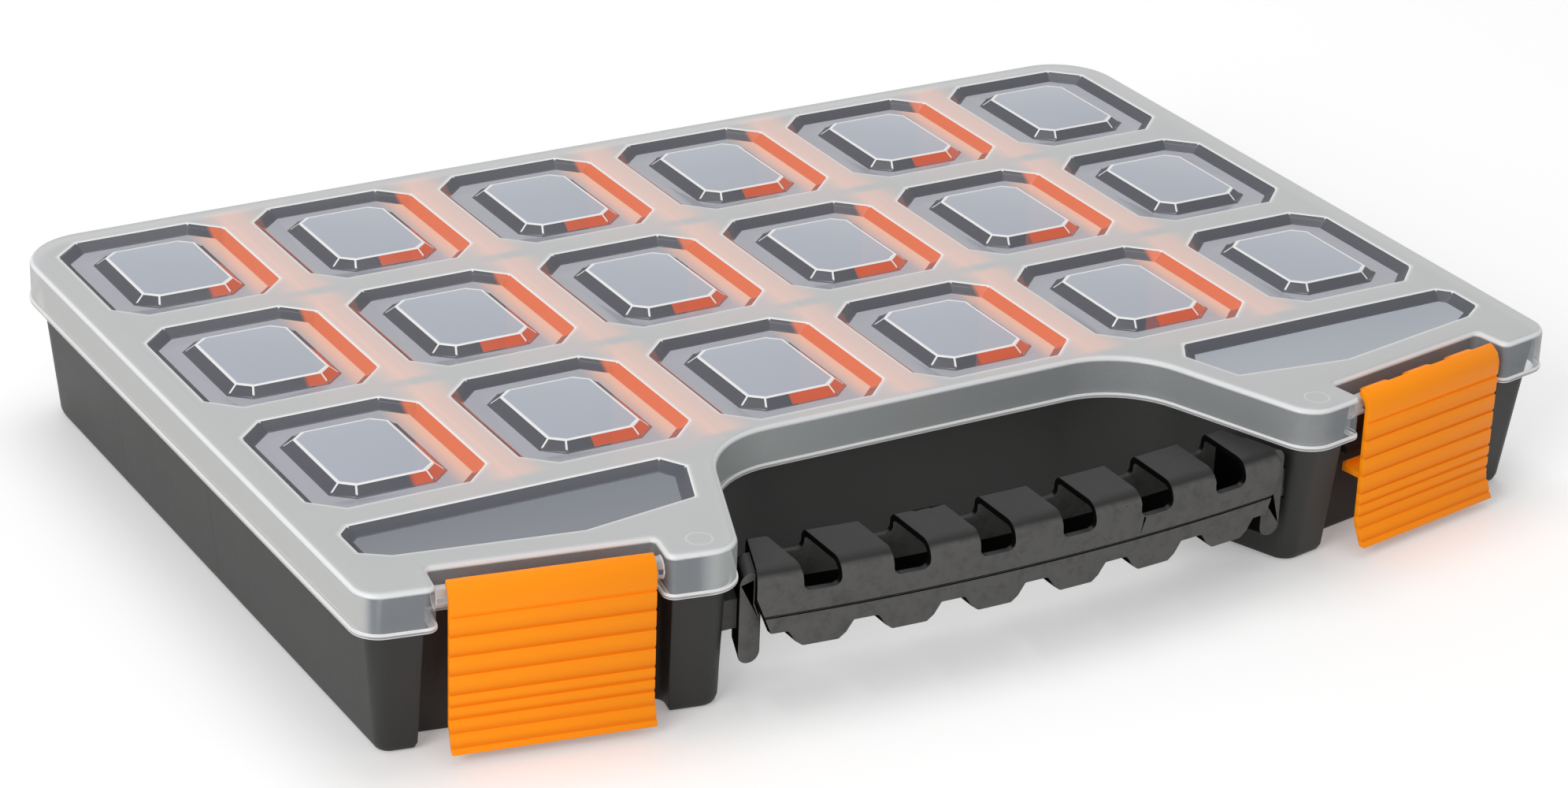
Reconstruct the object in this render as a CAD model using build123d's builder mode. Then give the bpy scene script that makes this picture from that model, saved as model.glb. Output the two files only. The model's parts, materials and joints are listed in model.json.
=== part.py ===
from build123d import *
from math import atan, cos, degrees, radians, sin, sqrt, tan
import os

# Compartment case: a tray of three rows by six columns with loose dividers, a hinged clear lid that
# presses a recess into each compartment, two snap latches at the front and a clip-in carry handle.
# The origin is the middle of the compartment grid, on the plane that the case stands on. X runs
# along the rows, the front with the handle is towards -Y, and Z is up.

# Compartment grid
columns = 6
rows = 3
column_pitch = 62.5
row_pitch = 69.0

# Plan outline around the grid, taken over the lid's lower lip
case_height = 51.0
side_margin = 5.0
back_margin = 3.5
front_depth = 74.5
back_corner_radius = 21.0
front_corner_radius = 8.5
face_angle = 10.2

# Latch notches in the slanted front faces, with an ear of the case on both sides of each
outer_ear_width = 21.06
inner_ear_width = 21.0
notch_width = 60.2
notch_depth = 11.5
ear_corner_radius = 3.4
notch_corner_radius = 1.2
smallest_corner_radius = 0.3

# Cut-out for the hand behind the carry handle
cutout_behind_grid = 0.1
cutout_flare = 21.3
cutout_back_radius = 27.0
cutout_front_radius = 10.0

# Lid shell
lid_sheet = 1.8
skirt_wall = 1.8
skirt_depth = 12.8
lip_width = 0.5
lip_height = 1.2
lid_edge_radius = 1.9

# Recess that the lid presses into each compartment, a moat around a raised panel
ridge_width_x = 9.5
ridge_width_y = 10.2
moat_width_x = 12.4
moat_width_y = 11.4
recess_corner_x = 8.5
recess_corner_y = 8.0
recess_depth = 2.5
recess_run = 3.1
panel_corner_x = 4.2
panel_corner_y = 3.4

# Recess over each side compartment, by its distance from the walls around that compartment
wedge_from_side = 10.0
wedge_from_row = 4.2
wedge_from_notch = 9.5
wedge_from_cutout = 9.1
wedge_corner = 7.5

# Tray
tray_wall = 1.6
tray_floor = 2.0
row_wall = 1.8
tray_draft = 5.2
tray_inner_draft = 1.2
foot_bevel = 2.4
foot_bevel_inset = 1.8
foot_bevel_step = 0.6

# Dividers and the ribs that hold their ends
divider_thickness = 1.4
divider_corner = 2.5
slot_rib = 1.1
slot_depth = 2.0

# Fits
lid_gap = 0.3
side_gap = 0.6
slot_gap = 0.3
running_gap = 0.06

# Back hinges
hinge_from_side = 82.5
hinge_pin_radius = 1.25
hinge_barrel_radius = 3.2
hinge_axis_behind = 1.6
hinge_axis_below = 3.6
lid_knuckle_length = 16.0
tray_knuckle_length = 10.0
knuckle_gap = 0.4
hinge_head_radius = 2.1
hinge_head_thickness = 1.0
knuckle_web_height = 8.0
gusset_height = 10.0

# Latches
latch_width = 55.6
latch_bottom = 3.2
latch_thickness = 2.0
latch_bar_radius = 3.0
latch_bar_behind_face = 6.0
latch_bar_below_top = 5.6
latch_curl_radius = 6.0
latch_curl_angle = 72.0
clip_wall = 1.0
clip_length = 9.0
clip_spacing = 18.0
clip_mouth = 4.4
latch_lip_flare = 3.0
latch_lip_height = 7.0
hook_height = 26.0
hook_shelf = 1.8
hook_nib_height = 2.0
hook_nib_width = 1.7
hook_nib_slope = 1.0
hook_gusset = 3.6
hook_width = 50.0
hook_to_catch = 0.3
catch_width = 46.0
catch_past_lip = 0.5
catch_above_hook = 0.6
catch_height = 3.2
catch_face = 1.6
grip_groove_depth = 0.6
grip_groove_height = 1.2
wide_grooves = 5
wide_groove_pitch = 5.6
wide_groove_below_bar = 3.8
close_grooves = 4
close_groove_pitch = 3.6

# Carry handle, a hollow bowed bar with finger notches above and arches below
handle_end_gap = 5.3
handle_end_slant = 4.4
handle_behind_face = 12.0
handle_bow = 5.8
handle_depth = 21.5
handle_foot_depth = 9.0
handle_below_top = 11.4
handle_bottom = 16.0
handle_wall = 2.0
handle_shoulder = 5.0
handle_back_shoulder = 3.0
grip_count = 6
grip_from_end = 5.7
grip_opening = 10.8
grip_depth = 7.4
grip_corner_radius = 2.2
grip_rise = 4.0
arch_top = 21.0
arch_top_width = 7.2
arch_foot_width = 11.6
foot_corner_height = 1.7
foot_corner_width = 2.2
parting_height = 25.8
parting_width = 0.5
parting_depth = 0.4

# End blocks of the handle and the stubs that clip through the tray's walls
end_block_gap = 0.6
end_block_width = 6.7
end_block_setback = 9.0
end_block_depth = 12.0
end_block_below_top = 12.4
end_block_bottom = 11.6
end_block_radius = 3.2
stub_width = 7.0
stub_height = 9.0
stub_bottom = 21.0
stub_setback = 3.5
stub_past_wall = 3.0
stub_gap = 0.3
stub_window_depth = 9.0

# Derived heights
lid_rim = case_height - skirt_depth
sheet_under = case_height - lid_sheet
tray_top = sheet_under - lid_gap
latch_bar_height = case_height - latch_bar_below_top
handle_top = case_height - handle_below_top
grip_bottom = handle_top - grip_depth
end_block_top = case_height - end_block_below_top

# Derived reaches in plan
half_width = columns / 2 * column_pitch + side_margin
back_reach = rows / 2 * row_pitch + back_margin
hinge_x = half_width - hinge_from_side
face_reach = rows / 2 * row_pitch + front_depth
notch_reach = face_reach - notch_depth
catch_reach = notch_reach + catch_past_lip
latch_bar_reach = face_reach - latch_bar_behind_face
cutout_back = -rows / 2 * row_pitch - cutout_behind_grid
handle_front = handle_behind_face - face_reach
end_block_front = handle_front + end_block_setback
recess_half_x = (column_pitch - ridge_width_x) / 2
recess_half_y = (row_pitch - ridge_width_y) / 2
panel_half_x = recess_half_x - moat_width_x
panel_half_y = recess_half_y - moat_width_y
flare_slope = tan(radians(cutout_flare))
face_slope = tan(radians(face_angle))

# Places along a front face, from its middle: the outer corner, the latch and the cut-out's corner
corner_along = half_width / cos(radians(face_angle)) - face_reach * face_slope
latch_centre = corner_along - outer_ear_width - notch_width / 2
cutout_along = latch_centre - notch_width / 2 - inner_ear_width

# Derived insets of the tray from the lid's outline, at the tray's top edge
tray_inset = lip_width + skirt_wall + side_gap

# Recess walls slope by this angle from upright
recess_taper = degrees(atan(recess_run / recess_depth))
recess_skin_growth = lid_sheet / cos(radians(recess_taper)) - lid_sheet * tan(radians(recess_taper))

# Hinge axis behind and below the lid's back lip
hinge_y = back_reach + hinge_axis_behind
hinge_z = lid_rim - hinge_axis_below
hinge_bore_radius = hinge_pin_radius + running_gap

# Centres of the compartments and of the walls between them
column_centres = [(number - (columns - 1) / 2) * column_pitch for number in range(columns)]
row_centres = [((rows - 1) / 2 - number) * row_pitch for number in range(rows)]
column_lines = [(number - columns / 2) * column_pitch for number in range(1, columns)]
row_lines = [(rows / 2 - number) * row_pitch for number in range(1, rows)]
side_wall_line = -rows / 2 * row_pitch
compartment_centres = [(x, y) for y in row_centres for x in column_centres]


# Plan position of a point that lies along and out of a front face, on the right or left side
def on_face(side, along, out):
    angle = radians(face_angle)
    x = side * (out * sin(angle) + along * cos(angle))
    y = along * sin(angle) - out * cos(angle)
    return x, y


# Half width of the cut-out at a depth, over the lid's lower lip, leaving out its rounded corners
def cutout_side(y):
    corner_x, corner_y = on_face(1, cutout_along, face_reach)
    return corner_x + (corner_y - y) * flare_slope


# Upright plane across a front face at its latch: its X runs out of the face and its Y runs up
def latch_plane(side, along=latch_centre):
    angle = radians(face_angle)
    out = Vector(side * sin(angle), -cos(angle), 0)
    return Plane(origin=(*on_face(side, along, 0), 0), x_dir=out, z_dir=out.cross(Vector(0, 0, 1)))


# Half of the case outline, right side, from the back corner round to the cut-out's back corner.
# The outer faces move in by outer, and the notch and cut-out faces move in by inner.
def half_outline(outer, inner):
    angle = radians(face_angle)
    flare = radians(cutout_flare)
    side_x = half_width - outer
    face = face_reach - outer
    notch = notch_reach - inner
    notch_far = latch_centre + notch_width / 2 + inner
    notch_near = latch_centre - notch_width / 2 - inner
    side_start = cutout_side(0) + inner / cos(flare)
    meet_y = (side_start * sin(angle) - face) / (tan(flare) * sin(angle) + cos(angle))
    back_y = cutout_back + inner
    corners = [
        ((side_x, back_reach - outer), max(back_corner_radius - outer, tray_wall)),
        ((side_x, (side_x * sin(angle) - face) / cos(angle)),
         max(front_corner_radius - inner, tray_wall)),
        (on_face(1, notch_far, face), max(ear_corner_radius - inner, smallest_corner_radius)),
        (on_face(1, notch_far, notch), notch_corner_radius + inner / 2),
        (on_face(1, notch_near, notch), notch_corner_radius + inner / 2),
        (on_face(1, notch_near, face), max(ear_corner_radius - inner, smallest_corner_radius)),
        ((side_start - meet_y * tan(flare), meet_y), max(cutout_front_radius - inner, tray_wall)),
        ((side_start - back_y * tan(flare), back_y), cutout_back_radius + inner),
    ]
    return corners


# Whole case outline as a sketch at a height
def case_outline(height, outer, inner):
    right = half_outline(outer, inner)
    left = [((-x, y), radius) for (x, y), radius in reversed(right)]
    corners = right + left
    with BuildSketch(Plane.XY.offset(height)) as outline:
        with BuildLine():
            FilletPolyline(
                *[point for point, radius in corners],
                radius=[radius for point, radius in corners],
                close=True,
            )
        make_face()
    return outline.sketch


# Eight-sided outline of a recess or of a raised panel, at every compartment or at the origin
def octagon(half_x, half_y, corner_x, corner_y):
    return [
        (half_x, -half_y + corner_y),
        (half_x, half_y - corner_y),
        (half_x - corner_x, half_y),
        (-half_x + corner_x, half_y),
        (-half_x, half_y - corner_y),
        (-half_x, -half_y + corner_y),
        (-half_x + corner_x, -half_y),
        (half_x - corner_x, -half_y),
    ]


# Moat with sloping walls around a raised panel, its top at the given height
def moat(top, growth):
    panel_foot = recess_run - growth
    with BuildPart() as shape:
        with BuildSketch(Plane.XY.offset(top)):
            Polygon(*octagon(recess_half_x + growth, recess_half_y + growth,
                             recess_corner_x, recess_corner_y), align=None)
        extrude(amount=-recess_depth, taper=recess_taper)
        with BuildSketch(Plane.XY.offset(top - recess_depth)):
            Polygon(*octagon(panel_half_x + panel_foot, panel_half_y + panel_foot,
                             panel_corner_x + recess_run / 2, panel_corner_y + recess_run / 2), align=None)
        extrude(amount=recess_depth, taper=recess_taper, mode=Mode.SUBTRACT)
    return shape.part


# Plan corners of the recess over the right side compartment, its corners cut off
def wedge_outline():
    far_x = half_width - wedge_from_side
    back_y = side_wall_line - wedge_from_row
    reach = notch_reach - wedge_from_notch
    angle = radians(face_angle)
    near_x = cutout_side(back_y) + wedge_from_cutout
    front_y = (far_x * sin(angle) - reach) / cos(angle)
    tip_along = cutout_along + inner_ear_width
    tip_x, tip_y = on_face(1, tip_along, reach)
    return [
        (near_x + wedge_corner, back_y),
        (far_x - wedge_corner / 2, back_y),
        (far_x, back_y - wedge_corner / 2),
        (far_x, front_y + wedge_corner / 2),
        (far_x - wedge_corner, front_y - wedge_corner * face_slope),
        (tip_x + wedge_corner * 2, tip_y + wedge_corner * 2 * face_slope),
        (cutout_side(tip_y + wedge_corner) + wedge_from_cutout, tip_y + wedge_corner),
        (near_x + wedge_corner * flare_slope, back_y - wedge_corner),
    ]


# Sloping-walled recess over a side compartment, its top at the given height
def wedge(side, top, growth):
    with BuildPart() as shape:
        with BuildSketch(Plane.XY.offset(top)):
            Polygon(*[(side * x, y) for x, y in wedge_outline()], align=None)
            if growth:
                offset(amount=growth, kind=Kind.INTERSECTION)
        extrude(amount=-recess_depth, taper=recess_taper)
    return shape.part


os.makedirs("parts", exist_ok=True)

# Lid: a shallow shell with a lip round its skirt, recesses, latch bars and hinge knuckles
lid_moat = moat(case_height, 0)
lid_moat_skin = moat(sheet_under, recess_skin_growth)

with BuildPart() as lid:
    extrude(case_outline(lid_rim, lip_width, lip_width), amount=skirt_depth)
    fillet(lid.faces().sort_by(Axis.Z)[-1].edges(), radius=lid_edge_radius)
    extrude(case_outline(lid_rim, 0, 0), amount=lip_height)
    hollow_inset = lip_width + skirt_wall
    extrude(case_outline(lid_rim, hollow_inset, hollow_inset), amount=skirt_depth - lid_sheet,
            mode=Mode.SUBTRACT)
    with Locations(*[(x, y, 0) for x, y in compartment_centres]):
        add(lid_moat_skin)
    for side in (1, -1):
        add(wedge(side, sheet_under, recess_skin_growth))
    with Locations(*[(x, y, 0) for x, y in compartment_centres]):
        add(lid_moat, mode=Mode.SUBTRACT)
    for side in (1, -1):
        add(wedge(side, case_height, 0), mode=Mode.SUBTRACT)
    for side in (1, -1):
        with BuildSketch(latch_plane(side)):
            with Locations((latch_bar_reach, latch_bar_height)):
                Circle(latch_bar_radius)
        extrude(amount=notch_width / 2 + skirt_wall / 2 + lip_width, both=True)
    for side in (1, -1):
        knuckle_plane = Plane.YZ.offset(side * hinge_x)
        with BuildSketch(knuckle_plane):
            with Locations((hinge_y, hinge_z)):
                Circle(hinge_barrel_radius)
            skirt_face = back_reach - lip_width
            with BuildLine():
                Polyline(
                    (hinge_y - hinge_barrel_radius, hinge_z),
                    (skirt_face - skirt_wall / 2, lid_rim),
                    (skirt_face - skirt_wall / 2, lid_rim + knuckle_web_height),
                    (skirt_face, lid_rim + knuckle_web_height),
                    (hinge_y + hinge_barrel_radius, lid_rim),
                    (hinge_y + hinge_barrel_radius, hinge_z),
                    close=True,
                )
            make_face()
        extrude(amount=lid_knuckle_length / 2, both=True)
        with BuildSketch(knuckle_plane):
            with Locations((hinge_y, hinge_z)):
                Circle(hinge_bore_radius)
        extrude(amount=lid_knuckle_length, both=True, mode=Mode.SUBTRACT)


lid.part.label = "lid"
export_step(lid.part, "parts/lid.step")


# Insets of the tray's outer faces and of its notch and cut-out faces at a height
def tray_insets(height, wall=0.0):
    below_top = 1 - height / tray_top
    outer = tray_inset + tray_draft * below_top + wall
    inner = tray_inset + tray_inner_draft * below_top + wall
    return outer, inner


# Y of the inside of the tray's back wall at a height
def back_wall_inside(height):
    return back_reach - tray_insets(height, tray_wall)[0]


# Y of the inside of the wall at the front of the last row, at a place along the row and a height
def front_wall_inside(x, height):
    straight = cutout_side(cutout_back) - cutout_back_radius * tan(radians(90 - cutout_flare) / 2)
    if abs(x) > cutout_side(cutout_back) + tray_inset:
        return side_wall_line + row_wall / 2
    inset = tray_insets(height, tray_wall)[1]
    if abs(x) <= straight:
        return cutout_back + inset
    reach = sqrt((cutout_back_radius + inset) ** 2 - (abs(x) - straight) ** 2)
    return cutout_back - cutout_back_radius + reach


# Y of the two walls that a row's dividers stand between, back one first
def row_ends(row, x, height):
    back = back_wall_inside(height) if row == 0 else row_lines[row - 1] - row_wall / 2
    front = front_wall_inside(x, height) if row == rows - 1 else row_lines[row] + row_wall / 2
    return back, front


# Upright section of one slot rib: it stands on the floor and is rooted in its wall
def rib_section(wall_low, wall_high, towards):
    root = tray_wall / 2
    return [
        (wall_low + towards * root, tray_floor - root),
        (wall_high + towards * root, tray_top),
        (wall_high - towards * slot_depth, tray_top),
        (wall_low - towards * slot_depth, tray_floor - root),
    ]


# Place along X of a hinge's two tray knuckles
tray_knuckle_offset = (lid_knuckle_length + tray_knuckle_length) / 2 + knuckle_gap
tray_knuckle_places = [side * hinge_x + end * tray_knuckle_offset for side in (1, -1) for end in (1, -1)]

# Height of the underside of the catch that the latch hooks snap below
catch_under = hook_height + catch_above_hook

# Ends of the handle, and where its stubs cross the cut-out's side walls
handle_half_length = cutout_side(handle_front + handle_bow) - handle_end_gap
end_block_far = cutout_side(end_block_front) - end_block_gap
stub_y = end_block_front + stub_setback + stub_width / 2
stub_inset = tray_insets(stub_bottom, 0)[1] / cos(radians(cutout_flare))
stub_wall_x = cutout_side(stub_y) + stub_inset
stub_start_x = end_block_far - end_block_width / 2 + (end_block_front - stub_y) * flare_slope
stub_end_x = stub_wall_x + tray_wall + stub_past_wall

# Chambers inside the tray: rows of compartments and the two side compartments
with BuildPart() as chambers:
    loft(
        sections=[
            case_outline(tray_floor, *tray_insets(tray_floor, tray_wall)),
            case_outline(tray_top + lid_gap, *tray_insets(tray_top + lid_gap, tray_wall)),
        ],
        ruled=True,
    )
    with Locations(*[(0, y, case_height / 2) for y in row_lines + [side_wall_line]]):
        Box(half_width * 2, row_wall, case_height, mode=Mode.SUBTRACT)

# Tray: drafted walls, floor, row walls, divider slots, hinge knuckles and latch catches
with BuildPart() as tray:
    loft(
        sections=[
            case_outline(0, *tray_insets(0, foot_bevel_inset)),
            case_outline(foot_bevel_step, *tray_insets(foot_bevel_step, foot_bevel_step)),
            case_outline(foot_bevel, *tray_insets(foot_bevel)),
            case_outline(tray_top, *tray_insets(tray_top)),
        ],
        ruled=True,
    )
    add(chambers.part, mode=Mode.SUBTRACT)
    for x in column_lines:
        for side in (1, -1):
            rib_x = x + side * (divider_thickness / 2 + slot_gap + slot_rib / 2)
            with BuildSketch(Plane.YZ.offset(rib_x)):
                for row in range(rows):
                    back_low, front_low = row_ends(row, x, tray_floor)
                    back_high, front_high = row_ends(row, x, tray_top)
                    Polygon(*rib_section(back_low, back_high, 1), align=None)
                    Polygon(*rib_section(front_low, front_high, -1), align=None)
            extrude(amount=slot_rib / 2, both=True)
    for x in tray_knuckle_places:
        knuckle_top = hinge_z + hinge_barrel_radius
        knuckle_foot = hinge_z - hinge_barrel_radius
        gusset_foot = knuckle_foot - gusset_height
        with BuildSketch(Plane.YZ.offset(x)):
            with Locations((hinge_y, hinge_z)):
                Circle(hinge_barrel_radius)
            with BuildLine():
                Polyline(
                    (back_wall_inside(knuckle_top) + tray_wall / 2, knuckle_top),
                    (hinge_y, knuckle_top),
                    (hinge_y + hinge_barrel_radius, hinge_z),
                    (hinge_y, knuckle_foot),
                    (back_wall_inside(gusset_foot) + tray_wall / 2, gusset_foot),
                    close=True,
                )
            make_face()
            with Locations((hinge_y, hinge_z)):
                Circle(hinge_bore_radius, mode=Mode.SUBTRACT)
        extrude(amount=tray_knuckle_length / 2, both=True)
    for side in (1, -1):
        recess_face = notch_reach - tray_insets(catch_under)[1] - tray_wall / 2
        with BuildSketch(latch_plane(side)):
            with BuildLine():
                Polyline(
                    (recess_face, catch_under),
                    (catch_reach, catch_under),
                    (catch_reach, catch_under + catch_face),
                    (recess_face, catch_under + catch_height + tray_wall),
                    close=True,
                )
            make_face()
        extrude(amount=catch_width / 2, both=True)
    with Locations(*[(side * stub_wall_x, stub_y, stub_bottom + stub_height / 2) for side in (1, -1)]):
        Box(
            stub_window_depth,
            stub_width + stub_gap * 2,
            stub_height + stub_gap * 2,
            mode=Mode.SUBTRACT,
        )

tray.part.label = "base_tray"
export_step(tray.part, "parts/base_tray.step")

# Dividers: one loose plate for each slot, its ends parallel to the walls that it stands between
for row in range(rows):
    for number, x in enumerate(column_lines):
        back_low, front_low = row_ends(row, x, tray_floor)
        back_high, front_high = row_ends(row, x, tray_top)
        with BuildPart() as divider:
            with BuildSketch(Plane.YZ.offset(x)):
                with BuildLine():
                    Polyline(
                        (front_low + slot_gap, tray_floor),
                        (back_low - slot_gap, tray_floor),
                        (back_high - slot_gap, tray_top),
                        (front_high + slot_gap, tray_top),
                        close=True,
                    )
                face = make_face()
                chamfer(face.vertices().group_by(Axis.Y)[0], length=divider_corner)
            extrude(amount=divider_thickness / 2, both=True)
        divider.part.label = f"divider_row{row + 1}_slot{number + 1}"
        export_step(divider.part, f"parts/{divider.part.label}.step")

# Hinge pins: headed pins, one through the three knuckles of each hinge
pin_reach = lid_knuckle_length / 2 + knuckle_gap + tray_knuckle_length
for side, place in ((-1, "left"), (1, "right")):
    with BuildPart() as pin:
        with BuildSketch(Plane.YZ.offset(side * (hinge_x + pin_reach))):
            with Locations((hinge_y, hinge_z)):
                Circle(hinge_head_radius)
        extrude(amount=side * hinge_head_thickness)
        with BuildSketch(Plane.YZ.offset(side * (hinge_x - pin_reach))):
            with Locations((hinge_y, hinge_z)):
                Circle(hinge_pin_radius)
        extrude(amount=side * (pin_reach * 2 + hinge_head_thickness / 2))
    pin.part.label = f"hinge_pin_{place}"
    export_step(pin.part, f"parts/{pin.part.label}.step")

# Latches: grooved plates that clip round the lid's bars and hook below the tray's catches
plate_back = latch_bar_reach + latch_curl_radius - latch_thickness
plate_front = latch_bar_reach + latch_curl_radius
wide_groove_top = latch_bar_height - wide_groove_below_bar
wide_groove_heights = [wide_groove_top - number * wide_groove_pitch for number in range(wide_grooves)]
close_groove_heights = [
    wide_groove_heights[-1] - (number + 1) * close_groove_pitch for number in range(close_grooves)
]
hook_tip = catch_reach + hook_to_catch
shelf_top = hook_height - hook_nib_height
shelf_under = shelf_top - hook_shelf


# How far the flared lip stands out of the latch's plate at a height
def lip_offset(height):
    return max(0, 1 - (height - latch_bottom) / latch_lip_height) * latch_lip_flare


for side, place in ((-1, "left"), (1, "right")):
    with BuildPart() as latch:
        with BuildSketch(latch_plane(side)):
            with BuildLine():
                Polyline(
                    (plate_back, latch_bar_height),
                    (plate_back, latch_bottom + latch_lip_height),
                    (plate_back + latch_lip_flare, latch_bottom),
                    (plate_front + latch_lip_flare, latch_bottom),
                    (plate_front, latch_bottom + latch_lip_height),
                    (plate_front, latch_bar_height),
                    close=True,
                )
            make_face()
            for height in wide_groove_heights + close_groove_heights:
                groove_end = height + grip_groove_height
                with BuildLine():
                    Polyline(
                        (plate_front + lip_offset(height), height),
                        (plate_front + lip_offset(groove_end), groove_end),
                        (plate_front + lip_offset(height) - grip_groove_depth, height),
                        close=True,
                    )
                make_face(mode=Mode.SUBTRACT)
            bar_centre = (latch_bar_reach, latch_bar_height)
            with BuildLine():
                curl_out = CenterArc(bar_centre, latch_curl_radius, 0, latch_curl_angle)
                curl_in = CenterArc(bar_centre, latch_curl_radius - latch_thickness, 0, latch_curl_angle)
                Line(curl_out @ 0, curl_in @ 0)
                Line(curl_out @ 1, curl_in @ 1)
            make_face()
        extrude(amount=latch_width / 2, both=True)
        with BuildSketch(latch_plane(side)):
            with BuildLine():
                Polyline(
                    (plate_back + latch_thickness / 2, shelf_top),
                    (hook_tip + hook_nib_width, shelf_top),
                    (hook_tip + hook_nib_width, hook_height),
                    (hook_tip, hook_height - hook_nib_slope),
                    (hook_tip, shelf_under),
                    (plate_back - hook_shelf, shelf_under),
                    (plate_back + latch_thickness / 2, shelf_under - hook_gusset),
                    close=True,
                )
            make_face()
        extrude(amount=hook_width / 2, both=True)
        for offset_along in (-clip_spacing, 0, clip_spacing):
            with BuildSketch(latch_plane(side, latch_centre + offset_along)):
                with Locations((latch_bar_reach, latch_bar_height)):
                    Circle(latch_bar_radius + running_gap + clip_wall)
            extrude(amount=clip_length / 2, both=True)
        with BuildSketch(latch_plane(side)):
            with Locations((latch_bar_reach, latch_bar_height)):
                Circle(latch_bar_radius + running_gap)
            with Locations((latch_bar_reach - latch_curl_radius, latch_bar_height)):
                Rectangle(latch_curl_radius * 2, clip_mouth)
        extrude(amount=latch_width / 2, both=True, mode=Mode.SUBTRACT)
    latch.part.label = f"latch_{place}"
    export_step(latch.part, f"parts/{latch.part.label}.step")


# Depth of the handle's bar at a height: below its parting line it tapers to the feet
def bar_depth(height):
    share = min(1, (height - handle_bottom) / (parting_height - handle_bottom))
    return handle_foot_depth + (handle_depth - handle_foot_depth) * share


# Plan band of the handle's bar at a height, moved in all round, its ends slanted like the cut-out
def handle_band(inset, height):
    front_x = handle_half_length - inset
    front = handle_front + inset
    back = handle_front + bar_depth(height) - inset
    back_x = front_x - (back - front) * flare_slope
    with BuildSketch(Plane.XY.offset(height)) as band:
        with BuildLine():
            front_end = front + handle_bow
            back_end = back + handle_bow
            front_arc = ThreePointArc((-front_x, front_end), (0, front), (front_x, front_end))
            back_arc = ThreePointArc((-back_x, back_end), (0, back), (back_x, back_end))
            Line(front_arc @ 0, back_arc @ 0)
            Line(front_arc @ 1, back_arc @ 1)
        make_face()
    return band.sketch


# Closed bar moved in all round, with rounded shoulders along its top
def handle_bar(inset):
    with BuildPart() as bar:
        loft(
            sections=[
                handle_band(inset, handle_bottom + inset),
                handle_band(inset, parting_height),
            ],
            ruled=True,
        )
        extrude(handle_band(inset, parting_height), amount=handle_top - parting_height - inset)
        top_edges = bar.faces().sort_by(Axis.Z)[-1].edges().sort_by(Axis.Y)
        fillet(top_edges[0], radius=handle_shoulder - inset)
        top_edges = bar.faces().sort_by(Axis.Z)[-1].edges().sort_by(Axis.Y)
        fillet(top_edges[-1], radius=handle_back_shoulder - inset)
    return bar.part


grip_pitch = (handle_half_length - grip_from_end) * 2 / grip_count
grip_places = [(number - (grip_count - 1) / 2) * grip_pitch for number in range(grip_count)]
arch_places = [(number - grip_count / 2) * grip_pitch for number in range(grip_count + 1)]
handle_front_plane = Plane(origin=(0, handle_front - handle_depth, 0), x_dir=(1, 0, 0), z_dir=(0, -1, 0))
grip_direction = Vector(0, cos(radians(grip_rise)), sin(radians(grip_rise)))
grip_start = grip_bottom - handle_depth * tan(radians(grip_rise))
grip_cut_length = handle_depth * 3
arch_skirt = handle_bottom - handle_wall

# Shallow band round the bar, where its two mould halves part
with BuildPart() as parting:
    extrude(handle_band(-parting_depth, parting_height), amount=parting_width)
    extrude(handle_band(parting_depth, parting_height), amount=parting_width, mode=Mode.SUBTRACT)

# Handle: hollow bar, cut by the grips and arches, with end blocks and clip stubs
with BuildPart() as handle:
    add(handle_bar(0))
    add(handle_bar(handle_wall), mode=Mode.SUBTRACT)
    add(parting.part, mode=Mode.SUBTRACT)
    with BuildSketch(handle_front_plane):
        for x in grip_places:
            with Locations((x, grip_start + handle_top / 2)):
                RectangleRounded(grip_opening, handle_top, grip_corner_radius)
    extrude(amount=grip_cut_length, dir=grip_direction, mode=Mode.SUBTRACT)
    with BuildSketch(handle_front_plane):
        for x in arch_places:
            with BuildLine():
                Polyline(
                    (x - arch_top_width / 2, arch_top),
                    (x + arch_top_width / 2, arch_top),
                    (x + arch_foot_width / 2, handle_bottom + foot_corner_height),
                    (x + arch_foot_width / 2 + foot_corner_width, handle_bottom),
                    (x + arch_foot_width / 2 + foot_corner_width, arch_skirt),
                    (x - arch_foot_width / 2 - foot_corner_width, arch_skirt),
                    (x - arch_foot_width / 2 - foot_corner_width, handle_bottom),
                    (x - arch_foot_width / 2, handle_bottom + foot_corner_height),
                    close=True,
                )
            make_face()
        for side in (1, -1):
            with BuildLine():
                Polyline(
                    (side * handle_half_length, grip_bottom),
                    (side * (handle_half_length - handle_end_slant), arch_top),
                    (side * (handle_half_length - handle_end_slant), arch_skirt),
                    (side * (handle_half_length + handle_wall), arch_skirt),
                    (side * (handle_half_length + handle_wall), grip_bottom),
                    close=True,
                )
            make_face()
    extrude(amount=-grip_cut_length, mode=Mode.SUBTRACT)
    for side in (1, -1):
        block_plane = Plane(origin=(0, end_block_front, 0), x_dir=(1, 0, 0), z_dir=(0, -1, 0))
        end_block_middle = (end_block_top + end_block_bottom) / 2
        block_direction = Vector(-side * sin(radians(cutout_flare)), cos(radians(cutout_flare)), 0)
        with BuildSketch(block_plane):
            with Locations((side * (end_block_far - end_block_width / 2), end_block_middle)):
                RectangleRounded(end_block_width, end_block_top - end_block_bottom, end_block_radius)
        extrude(amount=end_block_depth, dir=block_direction)
        stub_plane = Plane.YZ.offset(side * stub_start_x)
        with BuildSketch(stub_plane):
            with Locations((stub_y, stub_bottom + stub_height / 2)):
                Rectangle(stub_width, stub_height)
        extrude(amount=side * (stub_end_x - stub_start_x))

handle.part.label = "carry_handle"
export_step(handle.part, "parts/carry_handle.step")
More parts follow.
